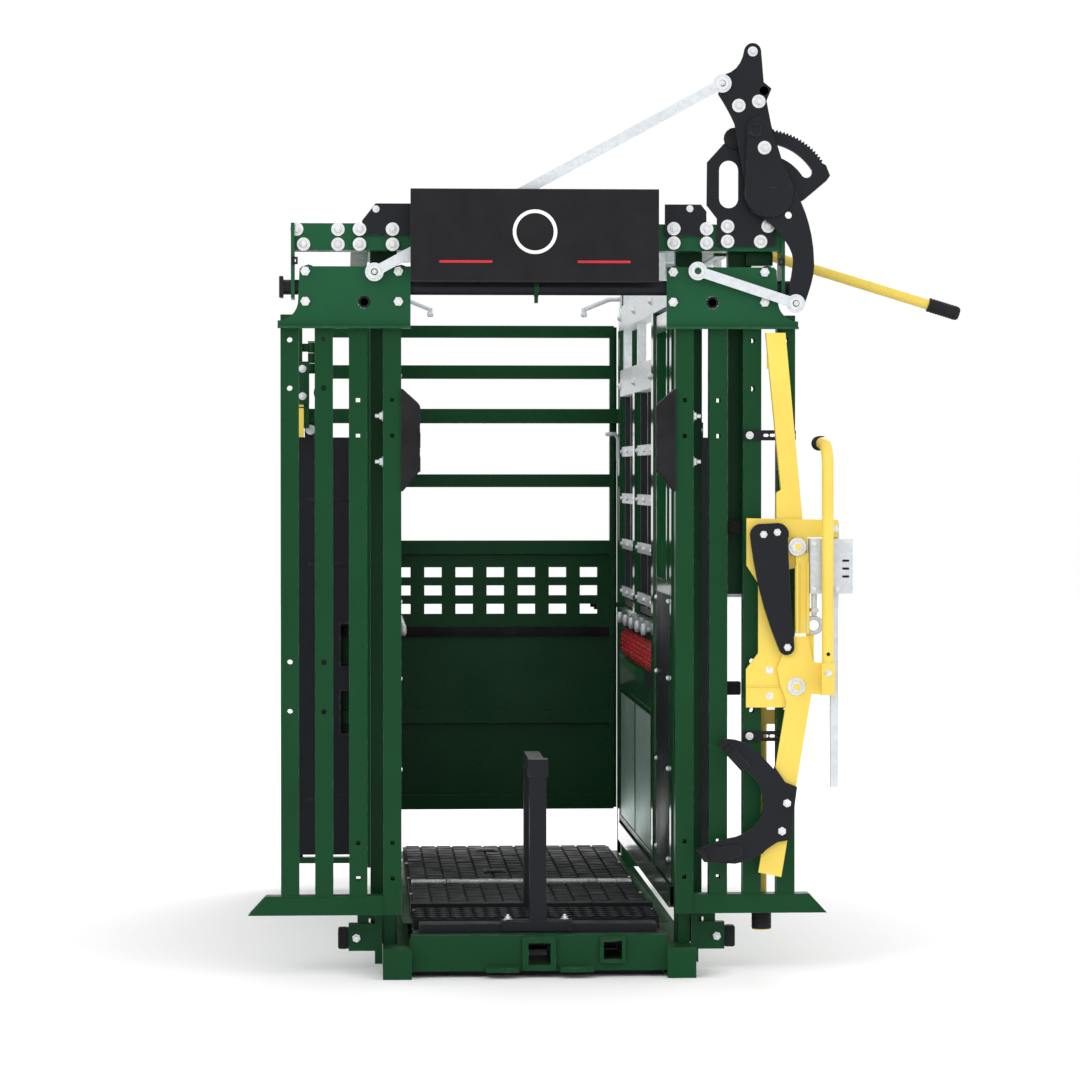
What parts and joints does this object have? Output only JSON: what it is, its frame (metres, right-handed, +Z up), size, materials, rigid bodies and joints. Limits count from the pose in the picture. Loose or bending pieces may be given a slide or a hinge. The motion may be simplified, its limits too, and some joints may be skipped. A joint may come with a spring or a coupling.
{
  "type": "cattle squeeze chute",
  "caption": "Steel squeeze chute with sliding head gate, parallel squeeze walls, folding side gates, head sweep arm, split tailgate and rear gate.",
  "frame": {"origin": "on the ground under the front floor joist, on the chute's centre line", "axes": "+X to the viewer's right at the head gate, +Y towards the rear gate, +Z up"},
  "size_m": [2.0304, 2.481, 2.6088],
  "materials": {
    "green_paint": "gloss powder coat over welded steel",
    "black_paint": "satin powder coat",
    "yellow_paint": "gloss powder coat",
    "galvanised": "bright zinc",
    "rubber": "moulded, matt",
    "black_poly": "satin sheet",
    "red_plastic": "moulded"
  },
  "bodies": {
    "root": {"brisket_bar": "black_paint", "control_tower": "green_paint", "floor_pan": "black_paint", "front_beam": "green_paint", "front_cross_rail": "galvanised", "front_mat": "rubber", "header_beam": "green_paint", "left_front_post": "green_paint", "left_gusset": "black_paint", "left_rear_post": "green_paint", "left_skid": "green_paint", "left_top_rail": "green_paint", "lever_mount": "black_paint", "rear_cross_rail": "galvanised", "rear_mat": "rubber", "right_front_post": "green_paint", "right_gusset": "black_paint", "right_rear_post": "green_paint", "right_skid": "green_paint", "right_top_rail": "green_paint", "sign_panel": "black_poly", "tail_track": "green_paint", "track_rail": "black_paint"},
    "head_lever": {"head_lever": "black_paint"},
    "long_link": {"long_link": "galvanised"},
    "short_link": {"short_link": "galvanised"},
    "left_leaf": {"left_leaf_frame": "green_paint", "left_leaf_plate": "green_paint", "left_neck_pad": "rubber"},
    "right_leaf": {"right_leaf_frame": "green_paint", "right_leaf_plate": "green_paint", "right_neck_pad": "rubber", "sweep_hanger": "yellow_paint", "sweep_plate": "yellow_paint", "sweep_side_link": "black_paint", "ratchet_box": "galvanised", "drop_tube": "yellow_paint"},
    "head_sweep": {"sweep_arm": "yellow_paint", "sweep_handle": "yellow_paint", "jaw": "black_paint"},
    "release_bar": {"release_bar": "galvanised"},
    "squeeze": {"squeeze_handle": "yellow_paint", "squeeze_shaft": "galvanised"},
    "left_tail": {"left_tail_panel": "black_paint"},
    "right_tail": {"right_tail_panel": "black_paint"},
    "rear_gate": {"rear_gate": "green_paint"},
    "left_wall": {"left_wall_frame": "green_paint", "left_upper_beams": "galvanised", "left_latch_bank": "red_plastic"},
    "left_door": {"left_neck_door": "green_paint"},
    "left_panel": {"left_lower_panel": "green_paint"},
    "left_front_gate": {"left_front_drop_gate": "black_paint"},
    "left_rear_gate": {"left_rear_drop_gate": "black_paint"},
    "right_wall": {"right_wall_frame": "green_paint", "right_upper_beams": "galvanised", "right_latch_bank": "red_plastic"},
    "right_door": {"right_neck_door": "green_paint"},
    "right_panel": {"right_lower_panel": "green_paint"},
    "right_front_gate": {"right_front_drop_gate": "black_paint"},
    "right_rear_gate": {"right_rear_drop_gate": "black_paint"}
  },
  "joints": [
    {"name": "lever_turn", "type": "hinge", "parent": "root", "child": "head_lever", "pos_m": [0.635, -0.048, 2.181], "axis": [0, 1, 0], "range_deg": [0, 50]},
    {"name": "left_leaf_slide", "type": "slide", "parent": "root", "child": "left_leaf", "axis": [1, 0, 0], "range_m": [0, 0.2762]},
    {"name": "right_leaf_slide", "type": "slide", "parent": "root", "child": "right_leaf", "axis": [-1, 0, 0], "range_m": [0, 0.27]},
    {"name": "long_link_turn", "type": "hinge", "parent": "left_leaf", "child": "long_link", "pos_m": [-0.459, -0.058, 1.967], "axis": [0, 1, 0], "range_deg": [0, 1.02]},
    {"name": "short_link_turn", "type": "hinge", "parent": "right_leaf", "child": "short_link", "pos_m": [0.443, -0.058, 1.972], "axis": [0, -1, 0], "range_deg": [0, 8.84]},
    {"name": "sweep_turn", "type": "hinge", "parent": "right_leaf", "child": "head_sweep", "pos_m": [0.718, -0.079, 0.812], "axis": [0, 1, 0], "range_deg": [0, 40]},
    {"name": "release_slide", "type": "slide", "parent": "right_leaf", "child": "release_bar", "axis": [0, 0, 1], "range_m": [0, 0.07]},
    {"name": "squeeze_turn", "type": "hinge", "parent": "root", "child": "squeeze", "pos_m": [0.579, 0.2, 2.06], "axis": [0, -1, 0], "range_deg": [0, 75]},
    {"name": "left_wall_slide", "type": "slide", "parent": "root", "child": "left_wall", "axis": [1, 0, 0], "range_m": [0, 0.1205]},
    {"name": "right_wall_slide", "type": "slide", "parent": "root", "child": "right_wall", "axis": [-1, 0, 0], "range_m": [0, 0.1205]},
    {"name": "left_tail_slide", "type": "slide", "parent": "root", "child": "left_tail", "axis": [1, 0, 0], "range_m": [0, 0.375]},
    {"name": "right_tail_slide", "type": "slide", "parent": "root", "child": "right_tail", "axis": [-1, 0, 0], "range_m": [0, 0.3755]},
    {"name": "rear_gate_turn", "type": "hinge", "parent": "root", "child": "rear_gate", "pos_m": [-0.655, 2.293, 1], "axis": [0, 0, 1], "range_deg": [0, 105]},
    {"name": "left_door_turn", "type": "hinge", "parent": "left_wall", "child": "left_door", "pos_m": [-0.434, 0.692, 1.05], "axis": [0, 0, -1], "range_deg": [0, 100]},
    {"name": "left_panel_turn", "type": "hinge", "parent": "left_wall", "child": "left_panel", "pos_m": [-0.434, 1.42, 0.236], "axis": [0, -1, 0], "range_deg": [0, 90]},
    {"name": "left_front_gate_turn", "type": "hinge", "parent": "left_wall", "child": "left_front_gate", "pos_m": [-0.434, 1.1, 0.966], "axis": [0, -1, 0], "range_deg": [0, 90]},
    {"name": "left_rear_gate_turn", "type": "hinge", "parent": "left_wall", "child": "left_rear_gate", "pos_m": [-0.434, 1.79, 0.966], "axis": [0, -1, 0], "range_deg": [0, 90]},
    {"name": "right_door_turn", "type": "hinge", "parent": "right_wall", "child": "right_door", "pos_m": [0.434, 0.692, 1.05], "axis": [0, 0, 1], "range_deg": [0, 100]},
    {"name": "right_panel_turn", "type": "hinge", "parent": "right_wall", "child": "right_panel", "pos_m": [0.434, 1.42, 0.236], "axis": [0, 1, 0], "range_deg": [0, 90]},
    {"name": "right_front_gate_turn", "type": "hinge", "parent": "right_wall", "child": "right_front_gate", "pos_m": [0.434, 1.1, 0.966], "axis": [0, 1, 0], "range_deg": [0, 90]},
    {"name": "right_rear_gate_turn", "type": "hinge", "parent": "right_wall", "child": "right_rear_gate", "pos_m": [0.434, 1.79, 0.966], "axis": [0, 1, 0], "range_deg": [0, 90]}
  ],
  "couplings": [
    {"joint": "left_leaf_slide", "follows": "lever_turn", "m_per_rad": 0.3158},
    {"joint": "right_leaf_slide", "follows": "lever_turn", "m_per_rad": 0.3087},
    {"joint": "long_link_turn", "follows": "lever_turn", "ratio": 0.0202},
    {"joint": "short_link_turn", "follows": "lever_turn", "ratio": 0.1766},
    {"joint": "left_wall_slide", "follows": "squeeze_turn", "m_per_rad": 0.0917},
    {"joint": "right_wall_slide", "follows": "squeeze_turn", "m_per_rad": 0.0917},
    {"joint": "right_tail_slide", "follows": "left_tail_slide", "ratio": 1}
  ]
}
